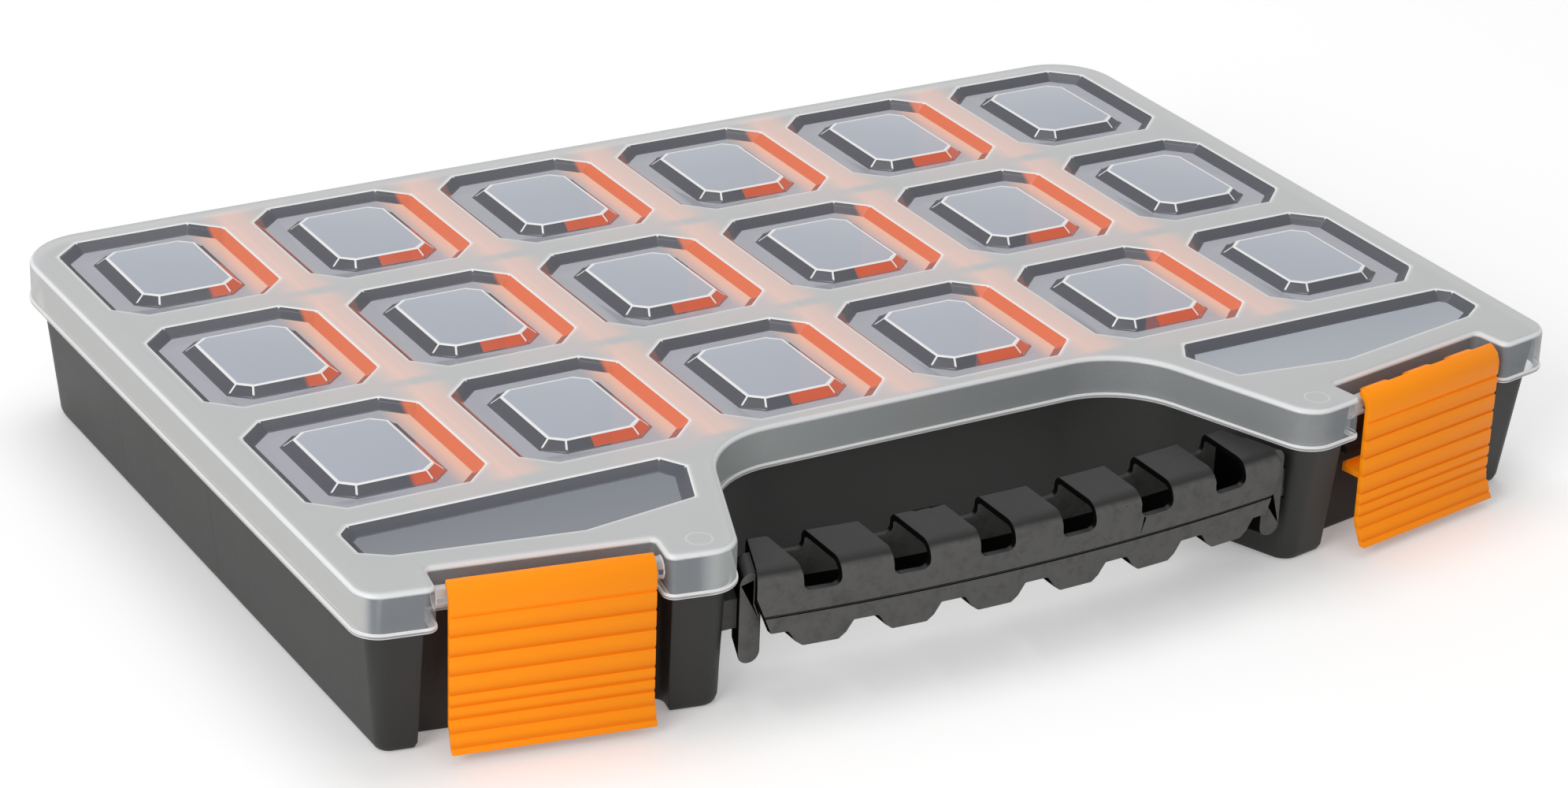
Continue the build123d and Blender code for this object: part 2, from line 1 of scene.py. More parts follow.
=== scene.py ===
import bpy
import json
from math import hypot, radians
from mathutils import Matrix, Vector

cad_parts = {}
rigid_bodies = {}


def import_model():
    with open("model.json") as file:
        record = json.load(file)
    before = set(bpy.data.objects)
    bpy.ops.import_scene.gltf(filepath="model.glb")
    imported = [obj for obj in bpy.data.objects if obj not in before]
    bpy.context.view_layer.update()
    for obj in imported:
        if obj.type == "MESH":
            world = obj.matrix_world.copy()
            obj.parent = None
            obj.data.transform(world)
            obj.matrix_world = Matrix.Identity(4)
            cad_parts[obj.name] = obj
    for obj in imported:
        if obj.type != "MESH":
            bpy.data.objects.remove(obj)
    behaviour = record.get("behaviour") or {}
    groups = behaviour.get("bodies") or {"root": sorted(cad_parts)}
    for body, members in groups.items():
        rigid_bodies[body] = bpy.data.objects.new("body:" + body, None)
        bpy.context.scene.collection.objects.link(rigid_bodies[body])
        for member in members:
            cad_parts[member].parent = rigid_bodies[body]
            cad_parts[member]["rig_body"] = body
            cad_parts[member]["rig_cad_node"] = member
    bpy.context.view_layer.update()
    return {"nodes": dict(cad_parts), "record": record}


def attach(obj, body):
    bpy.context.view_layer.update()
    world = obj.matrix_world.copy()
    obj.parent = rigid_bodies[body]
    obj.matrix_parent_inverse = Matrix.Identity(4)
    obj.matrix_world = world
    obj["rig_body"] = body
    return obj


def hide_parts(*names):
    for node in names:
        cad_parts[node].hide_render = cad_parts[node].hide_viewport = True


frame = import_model()
mm = 0.001
finishes = {}  # material of each slot


def deselectAll():
    if bpy.context.object and bpy.context.object.mode != "OBJECT":
        bpy.ops.object.mode_set(mode="OBJECT")
    bpy.ops.object.select_all(action="DESELECT")


def pick(piece):
    deselectAll()
    piece.select_set(True)
    bpy.context.view_layer.objects.active = piece


class Field:  # one socket of a node tree, with sums and products written as in Python
    def __init__(self, sheet, socket):
        self.sheet = sheet
        self.socket = socket

    def math(self, kind, *others):
        return self.sheet.node("ShaderNodeMath", {"operation": kind}, [self, *others])

    def __add__(self, other):
        return self.math("ADD", other)

    __radd__ = __add__

    def __mul__(self, other):
        return self.math("MULTIPLY", other)

    __rmul__ = __mul__

    def __sub__(self, other):
        return self.math("SUBTRACT", other)

    def __rsub__(self, other):
        return self.sheet.node("ShaderNodeMath", {"operation": "SUBTRACT"}, [other, self])

    def __truediv__(self, other):
        return self.math("DIVIDE", other)

    def __rtruediv__(self, other):
        return self.sheet.node("ShaderNodeMath", {"operation": "DIVIDE"}, [other, self])

    def __abs__(self):
        return self.math("ABSOLUTE")

    def most(self, other):
        return self.math("MAXIMUM", other)

    def least(self, other):
        return self.math("MINIMUM", other)

    def smooth(self, low, high):  # 0 below low, 1 above high
        return self.sheet.node(
            "ShaderNodeMapRange", {"interpolation_type": "SMOOTHSTEP"},
            {"Value": self, "From Min": low, "From Max": high})


class NodeSheet:  # a tree of nodes, each of which comes from its method node
    def __init__(self, tree):
        self.tree = tree

    def node(self, kind, settings, sockets, output=0):
        made = self.tree.nodes.new(kind)
        for name, value in settings.items():
            setattr(made, name, value)
        for key, value in sockets.items() if isinstance(sockets, dict) else enumerate(sockets):
            if isinstance(value, Field):
                self.tree.links.new(value.socket, made.inputs[key])
            else:
                made.inputs[key].default_value = value
        return Field(self, made.outputs[output])

    def ray(self, kind):  # 1 for rays of this kind
        return self.node("ShaderNodeLightPath", {}, {}, f"Is {kind} Ray")

    def seen(self):  # 1 for what the eye sees, straight or in gloss or through glass
        return self.ray("Camera").most(self.ray("Glossy")).most(self.ray("Transmission"))

    def blend(self, share, first, second):  # of two shaders
        return self.node("ShaderNodeMixShader", {}, [share, first, second])

    def show(self, field, ending="Material Output"):
        self.tree.links.new(field.socket, self.tree.nodes[ending].inputs[0])


class Finish(NodeSheet):  # a material, with the nodes that feed its shader
    def __init__(self, name, fixed):
        self.material = bpy.data.materials.new(name)
        self.material.use_nodes = True
        super().__init__(self.material.node_tree)
        self.shader = self.tree.nodes["Principled BSDF"]
        self.surface = Field(self, self.shader.outputs[0])
        for socket, value in fixed.items():
            self.shader.inputs[socket].default_value = value

    def along(self, source):  # x, y and z of a place, with "Object", or of the normal, with "Normal"
        whole = self.node("ShaderNodeTexCoord", {}, {}, source)
        first = self.node("ShaderNodeSeparateXYZ", {}, [whole])
        return [Field(self, socket) for socket in first.socket.node.outputs]

    def noise(self, scale, detail, roughness=0.5):
        place = self.node("ShaderNodeTexCoord", {}, {}, "Object")
        return self.node("ShaderNodeTexNoise", {}, {
            "Vector": place, "Scale": scale, "Detail": detail, "Roughness": roughness})

    def mix(self, share, low, high):  # of two colours
        return self.node("ShaderNodeMix", {"data_type": "RGBA"}, {0: share, 6: low, 7: high}, 2)

    def feed(self, socket, field):
        self.tree.links.new(field.socket, self.shader.inputs[socket])

    def bump(self, height, distance, strength):
        self.feed("Normal", self.node(
            "ShaderNodeBump", {}, {"Strength": strength, "Distance": distance, "Height": height}))


# shares of a black face's tone, and how its patterns mix; a noise is its scale, detail and roughness
blackLook = {
    "gloss": 0.35,
    "clouds": (42.0, 4.0, 0.6),
    "patches": (260.0, 5.0, 0.7),
    "grain": (2600.0, 2.0),
    "cloudShare": 0.6,  # the patches have the rest
    "darkest": 0.45,
    "palest": 1.55,
    "frontTurn": (0.6, 0.9),  # from here on a face looks to the front and gets the painted sheen
    "sheenByPatch": 1.6,
    "sheenLeast": 0.15,
    "roughByCloud": 0.14,
    "roughByGrain": 0.1,
    "grainDepth": 0.00006,
    "grainStrength": 0.5,
}

trayLook = {
    "tone": 0.024,
    # painted sheen: tone to which the front faces are painted, a painted reflection of the floor
    "dust": 0.024,
    "roughness": 0.38,
    "seams": (-34.5, 34.5),  # y in mm of the row walls, which show on the side walls
    "seamEdge": (0.25, 0.7),
    "seamTurn": (0.6, 0.8),
    "seamStrength": 0.7,
    "seamShade": 0.25,
    "edge": 0.3,  # radius of its edges in mm
    "edgeTurn": 24,  # least turn in degrees that is rounded
    "flatTurn": 0.6,  # most turn in degrees that counts as flat
}

handleLook = {
    "tone": 0.007,
    # painted sheen: tone to which the front faces are painted, a painted reflection of the floor
    "dust": 0.09,
    "roughness": 0.46,
    "notchTop": 30.0,  # height in mm below which the insides of the finger notches lie
    "notchFade": 1.0,
    "notchFloorTurn": (0.3, 0.6),
    "notchBackTurn": (0.2, 0.5),
    "notchFlankTurn": (0.55, 0.8),
    # painted shade in the finger notches, as shares of the tone, and how much of the dark shader covers them
    "notchShade": 0.15,
    "dullShade": 0.4,
    "dullShare": 0.9,
    "edge": 0.4,
    "edgeTurn": 35,
    "flatTurn": 0.05,
}

warmGrey = (1.0, 0.985, 0.94)


def grey(tone):
    return (*[tone * value for value in warmGrey], 1)


# painted shade: the insides and flanks of the finger notches are painted darker, and a dark dull shader is
# blended in there as their shade
def shadeNotches(finish, tint, look):
    z = finish.along("Object")[2]
    nx, ny, nz = finish.along("Normal")
    low = 1 - (z / mm).smooth(look["notchTop"] - look["notchFade"], look["notchTop"])
    inside = nz.smooth(*look["notchFloorTurn"]) * low
    inside = inside.most(ny.smooth(*look["notchBackTurn"])).most(abs(nx).smooth(*look["notchFlankTurn"]))
    # painted shade: a dark dull shader put where the notches are in shade
    dull = finish.node("ShaderNodeBsdfDiffuse", {}, [grey(look["tone"] * look["dullShade"])])
    finish.show(finish.blend(inside * look["dullShare"], finish.surface, dull))
    return finish.mix(inside, tint, grey(look["tone"] * look["notchShade"]))


# fine dark lines where the row walls join the side walls
def drawSeams(finish, tint, look):
    y = finish.along("Object")[1]
    aside = abs(finish.along("Normal")[0]).smooth(*look["seamTurn"])
    for place in look["seams"]:
        line = (1 - abs(y / mm - place).smooth(*look["seamEdge"])) * aside
        tint = finish.mix(line * look["seamStrength"], tint, grey(look["tone"] * look["seamShade"]))
    return tint


# moulded black, with a painted sheen on the front faces: painted paler in mottled patches, a painted reflection
# of the floor
def blackPlastic(name, look, detail):
    finish = Finish(name, {"Specular IOR Level": blackLook["gloss"]})
    ny = finish.along("Normal")[1]
    cloud = finish.noise(*blackLook["clouds"])
    patch = finish.noise(*blackLook["patches"])
    grain = finish.noise(*blackLook["grain"])
    share = blackLook["cloudShare"]
    dark, pale = [grey(look["tone"] * blackLook[shade]) for shade in ("darkest", "palest")]
    tint = finish.mix(cloud * share + patch * (1 - share), dark, pale)
    # painted sheen: the front faces are painted paler in mottled patches, a painted reflection of the floor
    frontSheen = (ny * -1).smooth(*blackLook["frontTurn"])
    frontSheen = frontSheen * (patch * blackLook["sheenByPatch"] + blackLook["sheenLeast"])
    tint = finish.mix(frontSheen, tint, grey(look["dust"]))
    finish.feed("Base Color", detail(finish, tint, look))
    rough = cloud * blackLook["roughByCloud"] + grain * blackLook["roughByGrain"]
    finish.feed("Roughness", rough + look["roughness"])
    finish.bump(grain, blackLook["grainDepth"], blackLook["grainStrength"])
    return finish.material


finishes["tray_black"] = blackPlastic("trayBlack", trayLook, drawSeams)
finishes["handle_black"] = blackPlastic("handleBlack", handleLook, shadeNotches)
print("black finishes ready")

# what the latches' and the dividers' orange share
orangeLook = {
    "gloss": 0.12,
    "clouds": (30.0, 3.0),
    "grain": (1800.0, 2.0),
    "cloudShare": 0.6,
    "grooveSoft": 0.05,  # mm over which a run of grooves ends
    "ribShadeSpan": (0.35, 1.0),  # shares of the pitch over which each rib is painted darker, going down from its groove
    "ribShadeDepth": 0.8,  # painted shade at the foot of each rib, as a share of the deep colour
    "ribShadeStrength": 0.75,
    "roughness": 0.3,
    "roughByCloud": 0.12,
    "roughByGrain": 0.06,
    "grainDepth": 0.00003,
    "grainStrength": 0.4,
}

latchLook = {
    "colour": (1.0, 0.31, 0.008, 1),
    "deep": (0.97, 0.25, 0.006, 1),
    "grooves": ((41.6, 19.2, 5.6), (19.2, 4.8, 3.6)),  # top, bottom and pitch of each run, in mm
    # painted light: emission strength that makes the orange glow, though it is no lamp
    "glow": 0.1,
    "edge": 0.25,
    "edgeTurn": 24,
    "flatTurn": 0.6,
}

dividerLook = {
    "colour": (1.0, 0.17, 0.03, 1),
    "deep": (0.94, 0.13, 0.02, 1),
    "grooves": (),
    # painted light: emission strength that makes the orange glow, though it is no lamp
    "glow": 0.12,
}


def orangePlastic(name, look):
    # painted light: the deep colour is emitted, so the orange glows a little, though it is no lamp
    finish = Finish(name, {
        "Specular IOR Level": orangeLook["gloss"], "Emission Color": look["deep"],
        "Emission Strength": look["glow"]})
    cloud = finish.noise(*orangeLook["clouds"])
    grain = finish.noise(*orangeLook["grain"])
    tint = finish.mix(cloud * orangeLook["cloudShare"], look["colour"], look["deep"])
    height = finish.along("Object")[2] / mm
    ribShadeColour = (*[value * orangeLook["ribShadeDepth"] for value in look["deep"][:3]], 1)
    soft = orangeLook["grooveSoft"]
    # painted shade: each rib between two grooves is painted darker going down, as the light falls on its
    # rounding
    for top, bottom, pitch in look["grooves"]:
        within = height.smooth(bottom - soft, bottom) * (1 - height.smooth(top, top + soft))
        groove = ((top - height) / pitch).math("FRACT").smooth(*orangeLook["ribShadeSpan"]) * within
        tint = finish.mix(groove * orangeLook["ribShadeStrength"], tint, ribShadeColour)
    finish.feed("Base Color", tint)
    rough = cloud * orangeLook["roughByCloud"] + grain * orangeLook["roughByGrain"]
    finish.feed("Roughness", rough + orangeLook["roughness"])
    finish.bump(grain, orangeLook["grainDepth"], orangeLook["grainStrength"])
    return finish.material


finishes["latch_orange"] = orangePlastic("latchOrange", latchLook)
finishes["divider_orange"] = orangePlastic("dividerOrange", dividerLook)
print("orange finishes ready")

pinLook = {
    "streaks": (700.0, 2.0),
    "dark": (0.5, 0.5, 0.5, 1),
    "pale": (0.62, 0.62, 0.61, 1),
    "roughness": 0.25,
    "roughByStreak": 0.2,
}


def steel(name):
    finish = Finish(name, {"Metallic": 1.0})
    streak = finish.noise(*pinLook["streaks"])
    finish.feed("Base Color", finish.mix(streak, pinLook["dark"], pinLook["pale"]))
    finish.feed("Roughness", streak * pinLook["roughByStreak"] + pinLook["roughness"])
    return finish.material


finishes["pin_steel"] = steel("pinSteel")
print("pin finish ready")

# lid: its pressed pattern, in mm; a pair of numbers is where a place begins and where it is full
lidLook = {
    "pitch": (62.5, 69.0),
    "cells": (6, 3),
    "gridEdge": (0.04, 0.03),  # shares of a pitch
    "recess": ((1.0, 0.0, 26.5), (0.0, 1.0, 29.4), (0.6853, 0.7282, 33.744)),  # direction and reach of a side
    "panel": ((1.0, 0.0, 14.1), (0.0, 1.0, 18.0), (0.6292, 0.7773, 20.22)),  # raised panel in a recess
    "wedge": (  # corners of the recess over the right side compartment
        (86.38, -107.7), (178.75, -107.7), (182.5, -111.45), (182.5, -122.93),
        (175.0, -128.03), (123.81, -137.25), (88.52, -132.44), (81.8, -115.2)),
    "wallRun": 3.1,  # width of a sloping wall, seen from above
    "wallDrop": 2.5,
    "topHeight": 51.0,
    "soft": 0.1,  # over which one place turns into the next
    "floorSoft": 0.15,
    "panelRing": 0.8,  # painted highlight: bright band round a panel's top
    "border": (-1.4, -0.1),  # painted highlight: paler border round a recess
    "borderStrength": 0.6,
    "mark": (99.7, -154.6, 3.5),  # place and radius of the gate mark on each inner ear
    "markLine": (0.1, 0.5),
    "markStrength": 0.4,
    # where the skirt's painted light and shade change: at the ears, the two ends and the inlet
    "earStart": (98.0, 104.0),
    "endStart": (178.0, 184.0),
    "inletEnd": (-95.0, 40.0),
    "middle": (-10.0, 10.0),  # where the left half turns into the right, for the painted shade of the left wedge floor
    # painted highlight along the upper rim, above this height
    "rimHeight": (48.6, 49.2),
    "gloss": 0.5,
    "frost": (900.0, 2.0),  # scale and detail of its grain
    "frostDepth": 0.00004,
    "frostStrength": 0.04,
    "roughness": 0.16,
    "roughByRidge": 0.2,
    "roughByFrost": 0.02,
    "lampsThrough": 0.9,
    "edge": 0.3,
    "edgeTurn": 24,
    "flatTurn": 0.6,
    "edgeRoughness": 0.2,
    "edgeRoughByFrost": 0.1,
    "ridgeFoot": (0.3, 0.8),  # how far down a wall its rounded edge is painted dark, as the wall's painted shade
    "panelFoot": (2.3, 2.7),
}

# shares of the normal that point up or aside, between which a face of the lid counts as such
lidTurns = {
    "skirt": (0.15, 0.3),
    "side": (0.6, 0.9),
    "rimLow": (0.3, 0.5),
    "rimHigh": (0.75, 0.97),
    "level": (0.9, 0.95),
    "flat": (0.97, 0.99),
}

# the sheet's underside, which stays clear because the colours lie on its upper side, in mm
underLook = {
    "around": (-1.2, -0.8),  # outside a recess
    "flatHeight": (48.9, 49.05),
    "below": (0.7, 1.1),  # under the upper side
    "leastHeight": (44.0, 45.0),
}

# painted light: orange that the sheet gathers from the dividers, painted by the distance in mm from their lines
gatherLook = {
    "peach": (1.0, 11.0),
    "glow": (7.9, 9.4),
    "blush": (9.0, 16.0),
    "peachStrength": 0.8,
    "glowTurn": (0.0, 0.3),  # walls that look away from a divider keep less of the glow
    "glowLoss": 0.7,
    "ends": (150.0, 152.0),  # past the last divider, and past the rows at the front and back
    "rowEnds": (101.0, 105.0),
    "rowGaps": (30.5, 34.0),
    "blushSide": (-0.5, 0.5),
    "emberSide": (-3.1, -2.7),
    "emberFront": (0.0, 1.0),
    "emberPast": (0.4, 0.0),  # mm past a panel's foot, to the side and to the front
    "emberPastFront": (0.3, 0.1),
}

# colours of the sheet's places, and after some of them the share of what lies behind that they cover
sheetShades = {
    "ridge": (0.54, 0.545, 0.55, 0.92),
    # painted light gathered from the dividers, on the ridges
    "peach": (0.86, 0.60, 0.52),
    # painted highlight round the recesses; the gate mark on each inner ear takes this pale colour too
    "border": (0.80, 0.80, 0.80),
    # painted reflection of the room: the panel tops and the moat and wedge floors are bluish grey over what
    # shows through; the left wedge floor is painted darker as painted shade
    "panelTop": (0.41, 0.44, 0.51, 0.94),
    "moat": (0.40, 0.41, 0.46, 0.90),
    "leftFloor": (0.32, 0.35, 0.40, 0.62),
    "rightFloor": (0.40, 0.43, 0.49, 0.88),
    # painted light gathered from the dividers, on the moat floors
    "blush": (0.88, 0.50, 0.37, 0.92),
    # painted shade of the recess walls
    "wall": (0.12, 0.13, 0.16, 0.60),
    # painted light gathered from the dividers, on the walls
    "glow": (0.78, 0.17, 0.07, 0.86),
    "ember": (0.66, 0.10, 0.035, 0.90),
    "skirt": (0.50, 0.53, 0.54, 0.22),
    # painted shade on the ears' skirt, painted light on the inlet and on the two ends
    "ear": (0.44, 0.48, 0.52, 0.24),
    "inlet": (0.54, 0.58, 0.57, 0.56),
    "side": (0.50, 0.50, 0.49, 0.80),
    # painted highlights: the upper rim and the ring round each panel
    "rim": (0.84, 0.85, 0.86, 0.90),
    "ring": (0.93, 0.93, 0.95, 0.90),
    "under": (0.60, 0.61, 0.60, 0.04),
    # painted highlight on the rounded edges, varied by the frost
    "edge": (0.93, 0.93, 0.92, 0.92),
    "edgeFrost": (0.86, 0.86, 0.86),
}


def shadeOf(kind):
    return (*sheetShades[kind][:3], 1)


def coverOf(kind):
    return sheetShades[kind][3]


# the sheet passes most of the light that falls on it, whatever it shows of what is behind it
def letLampsThrough(finish):
    share = finish.ray("Shadow").most(finish.ray("Diffuse")) * lidLook["lampsThrough"]
    clear = finish.node("ShaderNodeBsdfTransparent", {}, {})
    finish.show(finish.blend(share, finish.surface, clear))


# distance inside an outline, in mm, from the direction and reach of each of its sides
def inside(sides, x, y):
    gaps = [reach - x * alongX - y * alongY for alongX, alongY, reach in sides]
    nearest = gaps[0]
    for gap in gaps[1:]:
        nearest = nearest.least(gap)
    return nearest


# the same sides from an outline's corners, which go round clockwise
def sidesOf(corners):
    sides = []
    for (startX, startY), (endX, endY) in zip(corners, corners[1:] + corners[:1]):
        length = hypot(endX - startX, endY - startY)
        alongX = (startY - endY) / length
        alongY = (endX - startX) / length
        sides.append((alongX, alongY, alongX * startX + alongY * startY))
    return sides


# distances and place from the middle of the nearest compartment, in mm, and 1 within their grid
def cellPlace(x, y):
    across = []
    inCell = []
    grid = 1
    outer, inner = lidLook["gridEdge"]
    for axis, pitch, count in zip((x, y), lidLook["pitch"], lidLook["cells"]):
        half = count / 2
        turns = axis / (pitch * mm) + half
        inCell.append((turns.math("FRACT") - 0.5) * pitch)
        across.append(abs(inCell[-1]))
        grid = (1 - abs(turns - half).smooth(half - outer, half - inner)) * grid
    return across, inCell, grid


# 1 beside the lines between two columns, where the dividers stand, fading over a pair of distances; the painted
# light gathered from the dividers lies there
def besideDividers(x, y, across, fade):
    beside = 1 - (lidLook["pitch"][0] / 2 - across[0]).smooth(*fade)
    for distance, ends in ((abs(x) / mm, "ends"), (abs(y) / mm, "rowEnds"), (across[1], "rowGaps")):
        beside = beside * (1 - distance.smooth(*gatherLook[ends]))
    return beside


# where each point of the sheet lies in the pressed pattern
def sheetPlaces(finish, x, y, z):
    across, inCell, grid = cellPlace(x, y)
    nz = finish.along("Normal")[2]
    height = z / mm
    run = lidLook["wallRun"]
    soft = lidLook["soft"]
    ring = lidLook["panelRing"]
    inRecess = inside(lidLook["recess"], *across)
    inPanel = inside(lidLook["panel"], *across)
    inWedge = inside(sidesOf(lidLook["wedge"]), abs(x) / mm, y / mm)
    drop = inRecess.least(0.0 - inPanel) * grid
    drop = drop.most(inWedge).most(0.0).least(run)
    around, border = [
        (inRecess.smooth(*reach) * grid).most(inWedge.smooth(*reach))
        for reach in (underLook["around"], lidLook["border"])]
    flat = abs(nz).smooth(*lidTurns["flat"]) * height.smooth(*underLook["flatHeight"])
    below = lidLook["topHeight"] - drop * (lidLook["wallDrop"] / run) - height
    under = below.smooth(*underLook["below"]) * height.smooth(*underLook["leastHeight"]) * around.most(flat)
    bottom = drop.smooth(run - lidLook["floorSoft"], run)
    wedge = inWedge.smooth(-soft, soft)
    cell = inRecess.smooth(-soft, soft) * grid
    panel = inPanel.smooth(0.0, 2 * soft) * grid
    # ring and border are the bands of the painted highlights
    return {
        "across": across, "inCell": inCell, "drop": drop, "under": under, "above": 1 - under,
        # wall is where the walls' painted shade lies
        "moat": bottom * cell, "wedgeFloor": bottom * wedge, "wall": drop.smooth(0.0, soft) * (1 - bottom),
        "panel": panel, "ring": panel * (1 - inPanel.smooth(ring - 2 * soft, ring)),
        "panelWall": inPanel.smooth(-run - 5 * soft, -run - 3 * soft) * grid,
        "ridge": (1 - cell) * (1 - wedge), "border": border}


# the sheet: each place's mask and the colour that lies there, the later ones over the earlier
def clearPlastic(name):
    finish = Finish(name, {"Specular IOR Level": lidLook["gloss"]})
    x, y, z = finish.along("Object")
    nx, _, nz = finish.along("Normal")
    places = sheetPlaces(finish, x, y, z)
    across, inCell, above, wall, ridge = [
        places[key] for key in ("across", "inCell", "above", "wall", "ridge")]
    aside = abs(x) / mm
    skirt = (1 - abs(nz).smooth(*lidTurns["skirt"])) * ridge
    # painted light: the skirt at the two ends is painted paler
    side = skirt * abs(nx).smooth(*lidTurns["side"]) * aside.smooth(*lidLook["endStart"])
    beyond = aside.smooth(*lidLook["earStart"])
    # painted shade: the ears' skirt is painted darker
    ear = skirt * beyond * (1 - side)
    # painted light: the skirt between the ears is painted paler towards the left
    inlet = skirt * (1 - beyond) * (1 - (x / mm).smooth(*lidLook["inletEnd"]))
    # painted highlight along the rounded upper rim
    rim = ridge * nz.smooth(*lidTurns["rimLow"]) * (1 - nz.smooth(*lidTurns["rimHigh"]))
    rim = rim * (z / mm).smooth(*lidLook["rimHeight"])

    # painted light: the orange gathered from the dividers, beside their lines
    peach, glow, blush = [besideDividers(x, y, across, gatherLook[kind]) for kind in ("peach", "glow", "blush")]
    peach = peach * (1 - wall) * gatherLook["peachStrength"]
    glow = glow * wall * (1 - nx.smooth(*gatherLook["glowTurn"]) * gatherLook["glowLoss"])
    blush = blush * places["moat"] * inCell[0].smooth(*gatherLook["blushSide"])
    # painted light: orange on the near walls of the panels beside a divider
    ember = wall * (1 - inCell[1].smooth(*gatherLook["emberFront"])) * (1 - aside.smooth(*gatherLook["ends"]))
    for distance, panelSide, fade in zip(across, lidLook["panel"], ("emberPast", "emberPastFront")):
        foot = panelSide[2] + lidLook["wallRun"]
        ember = ember * distance.smooth(*[foot + value for value in gatherLook[fade]])
    ember = ember * inCell[0].smooth(*gatherLook["emberSide"])

    markX, markY, markRadius = lidLook["mark"]
    ahead = y / mm - markY
    reach = ((aside - markX) * (aside - markX) + ahead * ahead).math("SQRT") - markRadius
    mark = (1 - abs(reach).smooth(*lidLook["markLine"])) * nz.smooth(*lidTurns["level"])
    rightHalf = (x / mm).smooth(*lidLook["middle"])
    layers = (
        (peach, "peach"),
        (places["border"] * ridge * lidLook["borderStrength"], "border"),
        (mark * ridge * lidLook["markStrength"], "border"),
        # painted reflection on the panel tops and floors, and painted shade on the left wedge floor
        (places["panel"] * above, "panelTop"),
        (places["moat"] * above, "moat"),
        (places["wedgeFloor"] * above, "leftFloor"),
        (places["wedgeFloor"] * above * rightHalf, "rightFloor"),
        (blush * above, "blush"),
        # painted shade of the recess walls
        (wall * above, "wall"),
        (glow * above, "glow"),
        (ember * above, "ember"),
        (skirt, "skirt"),
        (ear, "ear"),
        (inlet, "inlet"),
        (side, "side"),
        (rim, "rim"),
        (places["ring"] * above, "ring"),
        (places["under"], "under"))
    tint = shadeOf("ridge")
    cover = coverOf("ridge")
    for share, kind in layers:
        tint = finish.mix(share, tint, shadeOf(kind))
        if len(sheetShades[kind]) > 3:
            cover = share * (coverOf(kind) - cover) + cover
    finish.feed("Base Color", tint)
    finish.feed("Alpha", cover)
    frost = finish.noise(*lidLook["frost"])
    rough = ridge.most(wall) * lidLook["roughByRidge"] + frost * lidLook["roughByFrost"]
    finish.feed("Roughness", rough + lidLook["roughness"])
    finish.bump(frost, lidLook["frostDepth"], lidLook["frostStrength"])
    letLampsThrough(finish)
    return finish.material


# rounded edges of the sheet: the upper ones and the lip are painted near-white as painted highlights, those at
# the foot of the moat walls are painted dark as the walls' painted shade, and those beside the dividers take
# the painted orange light gathered from them
def clearEdge(name):
    finish = Finish(name, {"Specular IOR Level": lidLook["gloss"]})
    x, y, z = finish.along("Object")
    places = sheetPlaces(finish, x, y, z)
    drop, onPanel, under = [places[key] for key in ("drop", "panelWall", "under")]
    foot = drop.smooth(*lidLook["ridgeFoot"]) * (1 - onPanel) + drop.smooth(*lidLook["panelFoot"]) * onPanel
    # painted light: the edges beside the dividers take the orange gathered from them
    glow = besideDividers(x, y, places["across"], gatherLook["glow"]) * foot
    frost = finish.noise(*lidLook["frost"])
    tint = finish.mix(frost, shadeOf("edge"), shadeOf("edgeFrost"))
    # painted shade: the edges at the foot of the walls take the walls' dark colour
    tint = finish.mix(foot, tint, shadeOf("wall"))
    finish.feed("Base Color", finish.mix(glow, tint, shadeOf("glow")))
    cover = foot * (coverOf("wall") - coverOf("edge")) + coverOf("edge")
    cover = glow * (coverOf("glow") - cover) + cover
    finish.feed("Alpha", under * (coverOf("under") - cover) + cover)
    finish.feed("Roughness", frost * lidLook["edgeRoughByFrost"] + lidLook["edgeRoughness"])
    letLampsThrough(finish)
    return finish.material


finishes["lid_clear"] = clearPlastic("lidClear")
finishes["lid_edge"] = clearEdge("lidEdge")
print("lid finishes ready")

# how the copies of the CAD nodes are rounded
roundingLook = {
    "weld": 0.004,  # mm between corners that are one
    # direction and place in mm of the cuts that keep any face from going round the cut-out
    "cuts": (((1, 0, 0), 0.0), ((0, 1, 0), -95.0), ((0, 1, 0), -145.0)),
    "steps": 2,
    "stray": 0.6,  # share of an edge's radius past which a corner is put back
    "smoothTurn": 30,
}


def wear(piece, slotName):
    piece.data.materials.clear()
    piece.data.materials.append(finishes[slotName])


# corners that the bevel threw out go back to the CAD node's surface
def putBack(piece, node, limit):
    count = 0
    for corner in piece.data.vertices:
        spot = node.closest_point_on_mesh(corner.co)[1]
        if (spot - corner.co).length > limit:
            corner.co = spot
            count += 1
    return count


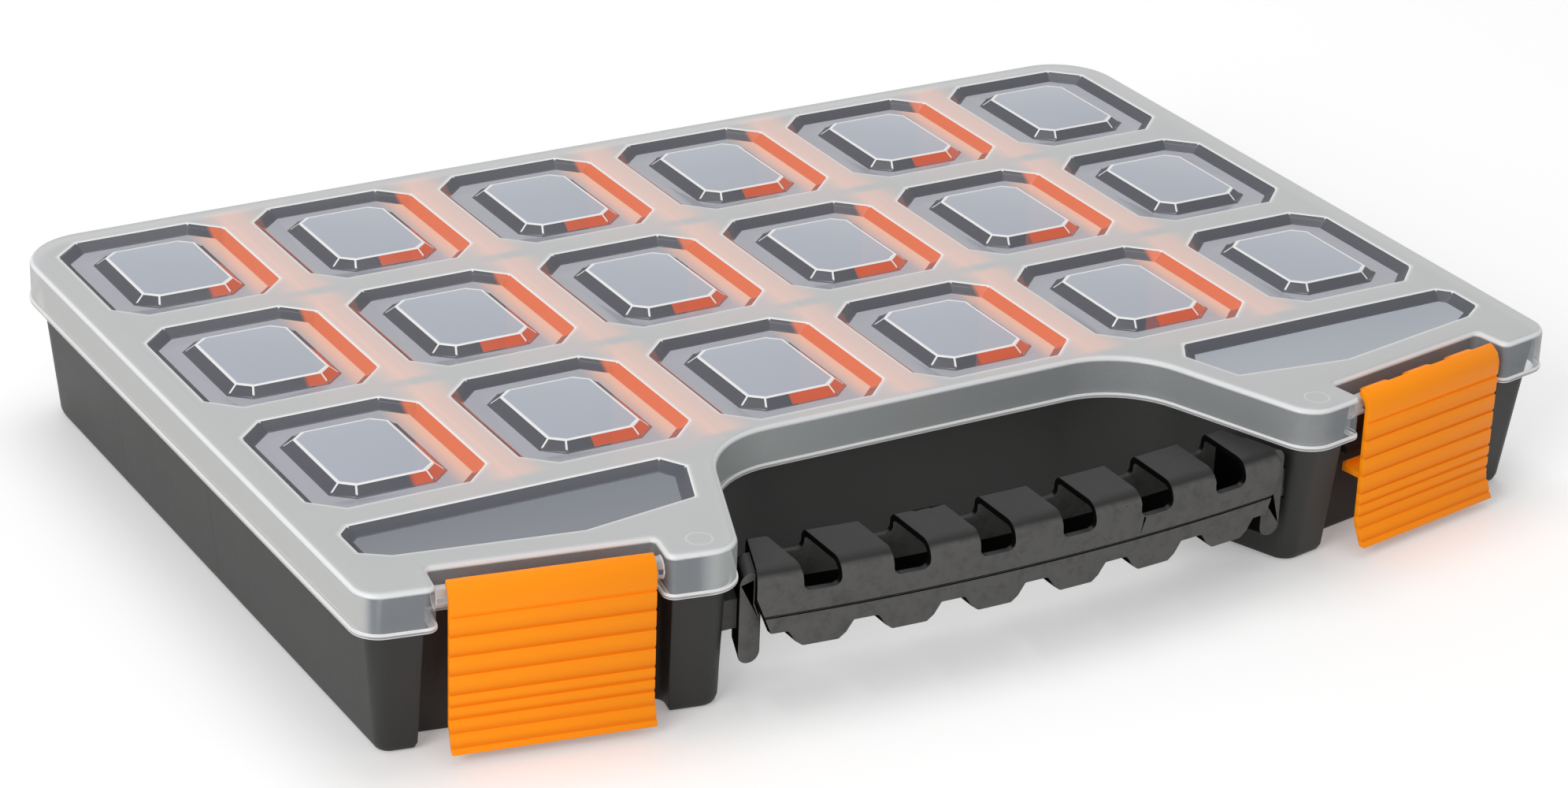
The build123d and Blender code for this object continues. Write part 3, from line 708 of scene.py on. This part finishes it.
# softly rounded copy of a CAD node, which takes the node's place
def roundedCopy(nodeName, pieceName, slotName, look, edgeFinish=None):
    node = frame["nodes"][nodeName]
    pick(node)
    bpy.ops.object.duplicate()
    piece = bpy.context.object
    body = node["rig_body"]
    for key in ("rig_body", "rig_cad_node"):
        del piece[key]
    piece.parent = None
    piece.name = pieceName
    pick(piece)
    wear(piece, slotName)
    if edgeFinish:
        piece.data.materials.append(finishes[edgeFinish])
    bpy.ops.mesh.customdata_custom_splitnormals_clear()
    bpy.ops.object.mode_set(mode="EDIT")
    bpy.ops.mesh.select_all(action="SELECT")
    bpy.ops.mesh.remove_doubles(threshold=roundingLook["weld"] * mm)
    bpy.ops.mesh.dissolve_limited(angle_limit=radians(look["flatTurn"]))
    for direction, place in roundingLook["cuts"]:
        bpy.ops.mesh.select_all(action="SELECT")
        bpy.ops.mesh.bisect(plane_co=[place * mm * value for value in direction], plane_no=direction)
    bpy.ops.object.mode_set(mode="OBJECT")
    bevel = piece.modifiers.new("edges", "BEVEL")
    bevel.width = look["edge"] * mm
    bevel.segments = roundingLook["steps"]
    bevel.limit_method = "ANGLE"
    bevel.angle_limit = radians(look["edgeTurn"])
    bevel.use_clamp_overlap = False
    if edgeFinish:
        bevel.material = 1
    bpy.ops.object.modifier_apply(modifier="edges")
    strays = putBack(piece, node, look["edge"] * roundingLook["stray"] * mm)
    print(pieceName, "has", len(piece.data.polygons), "faces,", strays, "corners put back")
    bpy.ops.object.shade_smooth_by_angle(angle=radians(roundingLook["smoothTurn"]))
    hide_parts(nodeName)
    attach(piece, body)


for row in frame["record"]["subparts"]:
    wear(frame["nodes"][row["node"]], row["material_slot"])

roundedCopy("lid", "clearLid", "lid_clear", lidLook, edgeFinish="lid_edge")
roundedCopy("base_tray", "blackTray", "tray_black", trayLook)
roundedCopy("carry_handle", "bowedHandle", "handle_black", handleLook)
for side in ("left", "right"):
    roundedCopy(f"latch_{side}", f"snapLatch_{side}", "latch_orange", latchLook)
print("pieces ready")

# studio around the case, in metres
studio = {
    "floorSize": 9.0,
    "floorTone": 0.86,
    "floorRoughness": 0.7,
    "floorGlow": 0.24,  # brings the lit floor up to white for the eye, and keeps its shadows
    "roomLight": 0.46,
    "lamps": {
        "keyLamp": {"place": (-1.7, -0.95, 1.0), "size": 1.1, "power": 20.0},
        "topLamp": {"place": (0.15, 0.35, 1.5), "size": 0.9, "power": 7.5},
    },
}
white = (1, 1, 1, 1)


def makeFloor():
    deselectAll()
    bpy.ops.mesh.primitive_plane_add(size=studio["floorSize"], location=(0, 0, 0))
    floor = bpy.context.object
    floor.name = "paleFloor"
    finish = Finish("paleFloor", {
        "Base Color": (*[studio["floorTone"]] * 3, 1), "Roughness": studio["floorRoughness"]})
    glow = finish.node("ShaderNodeEmission", {}, {"Color": white, "Strength": studio["floorGlow"]})
    both = finish.node("ShaderNodeAddShader", {}, [finish.surface, glow])
    finish.show(finish.blend(finish.seen(), finish.surface, both))
    floor.data.materials.append(finish.material)


# a soft room for the light, and a white one for the eye
def makeRoom():
    world = bpy.data.worlds.new("room")
    world.use_nodes = True
    bpy.context.scene.world = world
    room = NodeSheet(world.node_tree)
    room.tree.nodes.remove(room.tree.nodes["Background"])
    soft = room.node("ShaderNodeBackground", {}, {"Color": white, "Strength": studio["roomLight"]})
    bright = room.node("ShaderNodeBackground", {}, {"Color": white})
    room.show(room.blend(room.seen(), soft, bright), "World Output")


def makeLamp(name, look):
    deselectAll()
    bpy.ops.object.light_add(type="AREA", location=look["place"])
    lamp = bpy.context.object
    lamp.name = name
    lamp.data.size = look["size"]
    lamp.data.energy = look["power"]
    lamp.rotation_mode = "QUATERNION"
    lamp.rotation_quaternion = (-Vector(look["place"])).to_track_quat("-Z", "Y")


makeFloor()
makeRoom()
for name, look in studio["lamps"].items():
    makeLamp(name, look)
print("studio ready")

# camera of the photograph, worked out from the recess pattern
camera = {
    "place": (-567.75, -981.23, 536.71),  # in mm
    "turn": (64.9619, -1.9417, -29.8579),  # in degrees
    "lens": 94.03,
    "farthest": 20.0,  # metres that it sees
}

deselectAll()
bpy.ops.object.camera_add(
    location=[value * mm for value in camera["place"]],
    rotation=[radians(value) for value in camera["turn"]])
bpy.context.object.data.lens = camera["lens"]
bpy.context.object.data.clip_end = camera["farthest"]
bpy.context.scene.camera = bpy.context.object
bpy.context.scene.view_settings.view_transform = "Standard"
print("camera ready")
